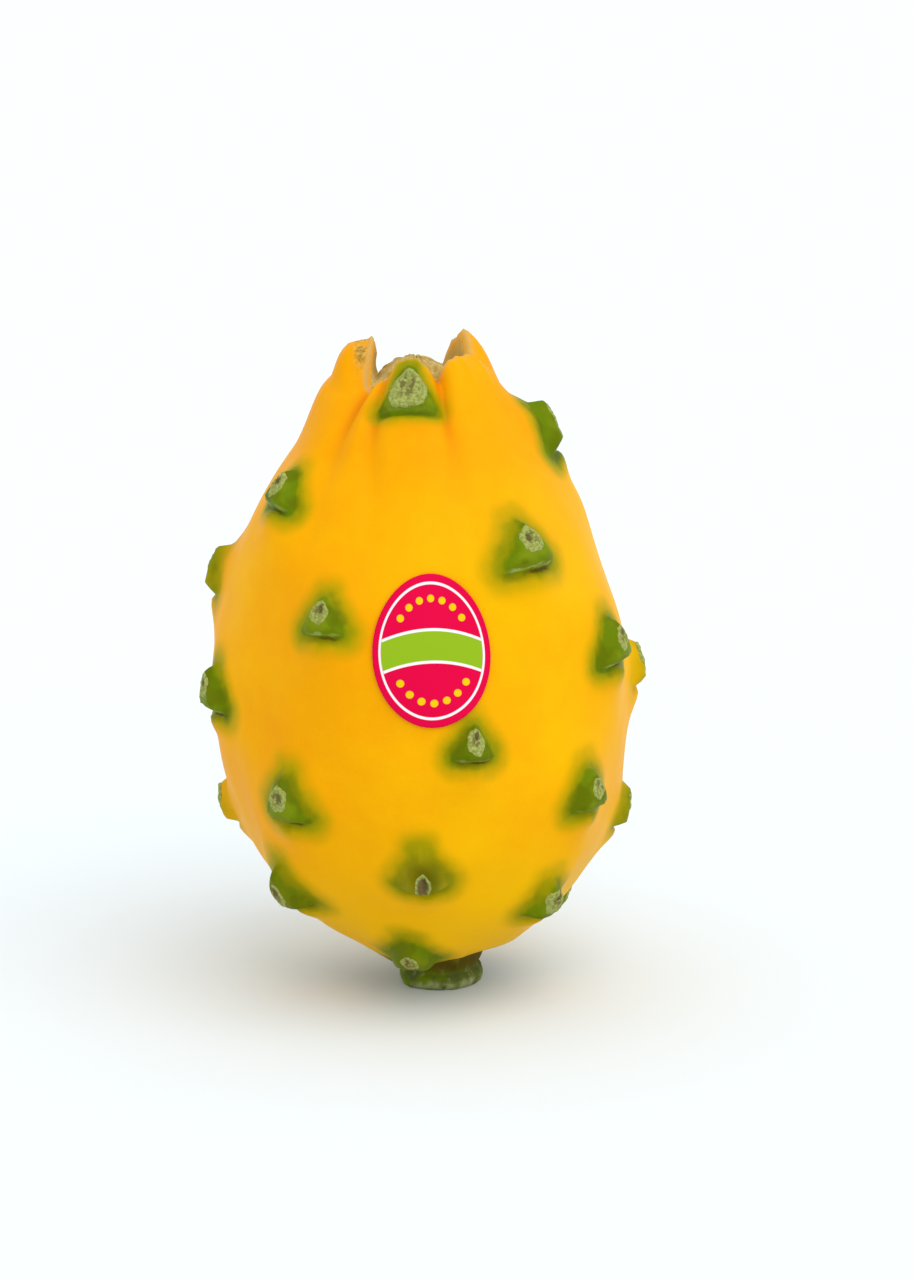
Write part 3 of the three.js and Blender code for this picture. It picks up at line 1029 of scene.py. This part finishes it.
    def build(self) -> bpy.types.Object:
        """Makes the skin as one closed mesh with a pole at the foot and one at the scar, and dresses it.

        Returns:
            The new object.
        """
        azimuth, way = self.grid()
        surface = self.sample(np.append(azimuth, [0.0, 0.0]), np.append(way, [0.0, self.outline.length]))
        piece = closed_piece("skin", surface, closed_faces(*azimuth.shape), self.finish.material())
        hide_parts("fruit")
        return piece


@dataclass(frozen=True)
class AreoleFinish:
    """The dry felt of an areole: pale tufts on grey-green, brown towards a dark pit."""

    felt: Colour = (136, 141, 62)
    tuft: Colour = (166, 172, 96)
    brown: Colour = (104, 88, 46)
    pit: Colour = (80, 66, 34)

    def material(self) -> bpy.types.Material:
        """Felt by noise, pale near the pad's edge, and brown and dark inside it by the masks.

        Returns:
            The finished material.
        """
        tree = Tree("areole_felt")
        at = tree.places()
        tufts = tree.noise(at, 0.55, 4.0, 0.7)
        strands = tree.spots(at, 0.5)
        share, age = tree.mask("share"), tree.mask("age")
        lumps = tree.mask("lumps")
        colour = tree.mix(tufts.step(0.4, 0.62), self.felt, self.tuft)
        brown = (1.0 - share.step(0.35, 0.8)) * (lumps * 0.5 + strands - tufts).step(0.0, 0.18)
        old = (1.0 - share.step(0.45, 0.9)) * age.step(0.55, 1.0)
        colour = tree.mix((brown * 0.75 + old).clear(), colour, self.brown)
        colour = tree.mix((tree.mask("pit") + (tufts - 0.5) * 1.2).step(0.3, 0.9) * 0.85, colour, self.pit)
        height = tufts + strands
        return tree.surface(
            Base_Color=colour, Roughness=0.9, Normal=tree.bump(height, 0.15), Specular_IOR_Level=0.2
        )


@dataclass
class Areoles:
    """The felt pads in the middle of the tubercles' caps."""

    skin: FruitSkin
    half_width: float = 1.85
    half_height: float = 2.45
    middle: float = 0.75
    drop: float = 4.2
    thickness: float = 0.28
    tucked: float = 0.25
    pit_depth: float = 0.1
    rings: int = 14
    sides: int = 56
    finish: AreoleFinish = field(default_factory=AreoleFinish)

    def pad(self, bump: Tubercle, seed: int) -> Surface:
        """One pad: an egg-shaped plate on the cap, narrower at its top, with a pit and a rough face.

        A dried pad sits lower on its cap.

        Args:
            bump: the tubercle that carries it.
            seed: seed of its ragged edge and rough face.

        Returns:
            Rings of points out over its tucked-in back and in over its face, then its two poles.
        """
        share, angle, face = plate_places(self.rings, self.sides)
        edge = 1.0 + 0.04 * np.sin(2.0 * angle + 5.0 * seed) + 0.05 * np.sin(5.0 * angle + 2.0 * seed)
        edge = (edge + 0.025 * np.sin(11.0 * angle + 3.0 * seed)) * bump.areole * share
        middle = self.middle - self.drop * max(bump.age - self.skin.dried_from, 0.0)
        u = edge * np.cos(angle) * self.half_width * (1.0 - 0.26 * share * np.sin(angle))
        w = middle + edge * np.sin(angle) * self.half_height
        aside, above, depth = np.random.default_rng(seed).uniform((-0.5, -0.2, 0.5), (0.5, 1.1, 1.0))
        lumps = waves(np.stack([u, w, np.full_like(u, 3.0 * seed)], axis=-1), 1.0, 11)
        hole = depth * bell(np.hypot(u - aside, (w - middle - above) * 0.8) + 0.2 * lumps, 0.7, 3.0)
        rough = 0.08 * (1.0 - share**6) * lumps
        top = self.thickness * (1.0 - 0.9 * share**5) + rough - self.pit_depth * hole
        height = np.where(face > 0.5, top, -self.tucked) * bump.size
        masks = {"share": share, "pit": hole * face, "age": np.full_like(u, bump.age), "lumps": lumps}
        return Surface(self.skin.lifted(partial(self.skin.spread, bump), u, w, height, 0.25), masks)

    def build(self) -> bpy.types.Object:
        """Makes every pad and joins them into one piece.

        Returns:
            The new object.
        """
        pads = [self.pad(bump, seed) for seed, bump in enumerate(self.skin.tubercles)]
        one = closed_faces(2 * self.rings, self.sides)
        faces = [part + index * len(pads[0].points) for index in range(len(pads)) for part in one]
        return closed_piece("areoles", joined(pads), faces, self.finish.material())


@dataclass(frozen=True)
class StickerFinish:
    """Coated paper printed with a plain pattern of a band, a ring and dots."""

    crimson: Colour = (220, 0, 64)
    lime: Colour = (142, 176, 28)
    yellow: Colour = (236, 190, 12)
    white: Colour = (236, 232, 232)

    def material(self, half_width: float, half_length: float) -> bpy.types.Material:
        """Crimson paper with a white ring, a lime band edged in white, and two arcs of yellow dots.

        Args:
            half_width: half of the sticker's width in millimetres.
            half_length: half of its length.

        Returns:
            The finished material.
        """
        tree = Tree("sticker_print")
        x, y = tree.mask("across"), tree.mask("along")
        oval = ((x / half_width) ** 2.0 + (y / half_length) ** 2.0) ** 0.5
        colour = tree.mix(abs(oval - 0.88).step(0.022, 0.014), self.crimson, self.white)
        band = abs(y - 0.9 + x * x * 0.028)
        within = oval.step(0.862, 0.852)
        colour = tree.mix(band.step(3.05, 2.95) * within, colour, self.white)
        colour = tree.mix(band.step(2.55, 2.45) * within, colour, self.lime)
        dots = tree.mask("dots").step(0.72, 0.6)
        colour = tree.mix(dots, colour, self.yellow)
        return tree.surface(Base_Color=colour, Roughness=0.4, Specular_IOR_Level=0.05)


@dataclass
class Sticker:
    """The oval produce sticker on the fruit's front."""

    skin: FruitSkin
    azimuth: float = 4.5
    height: float = 69.8
    width: float = 20.4
    length: float = 26.4
    gap: float = 0.15
    thickness: float = 0.35
    dots_in_arc: int = 7
    arc_share: float = 0.68
    rings: int = 40
    sides: int = 160
    finish: StickerFinish = field(default_factory=StickerFinish)

    def place(self, across: Array, along: Array) -> tuple[Array, Array]:
        """Azimuth and way of places across and along the sticker."""
        middle = self.skin.outline.way_at(self.height)
        return math.radians(self.azimuth) + across / self.skin.outline.at(middle)[0], middle + along

    def dots(self, across: Array, along: Array) -> Array:
        """The distance to the nearest dot's centre: an arc of dots above the band and one below.

        Args:
            across: places across the sticker.
            along: places along it.

        Returns:
            The distances in millimetres.
        """
        arc = np.linspace(38, 142, self.dots_in_arc)
        angles = np.radians(np.concatenate([arc, arc + 180]))
        x = self.arc_share * self.width / 2 * np.cos(angles)
        y = self.arc_share * self.length / 2 * np.sin(angles)
        return np.hypot(across[:, None] - x, along[:, None] - y).min(axis=1)

    def build(self) -> bpy.types.Object:
        """Makes the sticker as a closed plate over the skin, and prints it.

        Returns:
            The new object.
        """
        share, angle, face = plate_places(self.rings, self.sides)
        across = share * np.cos(angle) * self.width / 2
        along = share * np.sin(angle) * self.length / 2
        points = self.skin.lifted(self.place, across, along, self.gap + face * self.thickness, 0.4)
        masks = {"across": across, "along": along, "dots": self.dots(across, along)}
        faces = closed_faces(2 * self.rings, self.sides)
        finish = self.finish.material(self.width / 2, self.length / 2)
        piece = closed_piece("sticker_print", Surface(points, masks), faces, finish)
        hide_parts("sticker")
        return piece


@dataclass(frozen=True)
class Studio:
    """A pale floor under an even white sky, a broad soft light from the upper right, and the camera."""

    target: tuple[float, float, float] = (3.06, 0.0, 63.8)
    distance: float = 650.0
    elevation: float = 13.0
    pixel: float = 0.18
    image_height: int = 1280
    sensor: float = 36.0
    floor_size: float = 16.0
    floor: Colour = (229, 232, 238)
    sky: Colour = (248, 255, 252)
    sky_strength: float = 1.08
    key_strength: float = 0.95
    key_spread: float = 60.0
    key_from: tuple[float, float, float] = (0.5, -0.6, 1.0)

    def camera(self) -> None:
        """Looks at the target from the front and above, with a lens that gives the photograph's scale."""
        data = bpy.data.cameras.new("camera")
        data.sensor_width = self.sensor
        data.lens = self.sensor * self.distance / (self.image_height * self.pixel)
        camera = linked("camera", data)
        pitch = math.radians(self.elevation)
        back = np.array([0.0, -math.cos(pitch), math.sin(pitch)])
        camera.location = (np.array(self.target) + self.distance * back) * MM
        camera.rotation_euler = (math.pi / 2 - pitch, 0.0, 0.0)
        bpy.context.scene.camera = camera

    def ground(self) -> None:
        """A square floor under the fruit, far wider than the view."""
        half = self.floor_size / 2
        mesh = bpy.data.meshes.new("floor")
        corners = [(-half, -half, 0), (half, -half, 0), (half, half, 0), (-half, half, 0)]
        mesh.from_pydata(corners, [], [(0, 1, 2, 3)])
        floor = linked("floor", mesh)
        paint = {"Base_Color": linear(self.floor), "Roughness": 0.9, "Specular_IOR_Level": 0.0}
        floor.data.materials.append(Tree("floor_paint").surface(**paint))

    def key(self) -> None:
        """A very broad parallel light, so that the floor is lit the same all over."""
        data = bpy.data.lights.new("key", "SUN")
        data.energy = self.key_strength
        data.angle = math.radians(self.key_spread)
        x, y, z = self.key_from
        linked("key", data).rotation_euler = (math.atan2(math.hypot(x, y), z), 0.0, math.atan2(x, -y))

    def surround(self) -> None:
        """An even white surround."""
        world = bpy.data.worlds.new("studio")
        world.use_nodes = True
        background = world.node_tree.nodes["Background"]
        background.inputs["Color"].default_value = linear(self.sky)
        background.inputs["Strength"].default_value = self.sky_strength
        bpy.context.scene.world = world

    def build(self) -> None:
        """Sets up the camera, floor, light and surround."""
        self.camera()
        self.ground()
        self.key()
        self.surround()
        bpy.context.scene.view_settings.view_transform = "Standard"


def main() -> None:
    """Builds the pieces in order and reports each."""
    logging.basicConfig(level=logging.INFO, format="%(name)s: %(message)s")
    Studio().build()
    skin = FruitSkin()
    for piece in (skin.build(), Areoles(skin).build(), Sticker(skin).build()):
        LOG.info("%s: %d points, %d faces", piece.name, len(piece.data.vertices), len(piece.data.polygons))


if __name__ == "__main__":
    main()
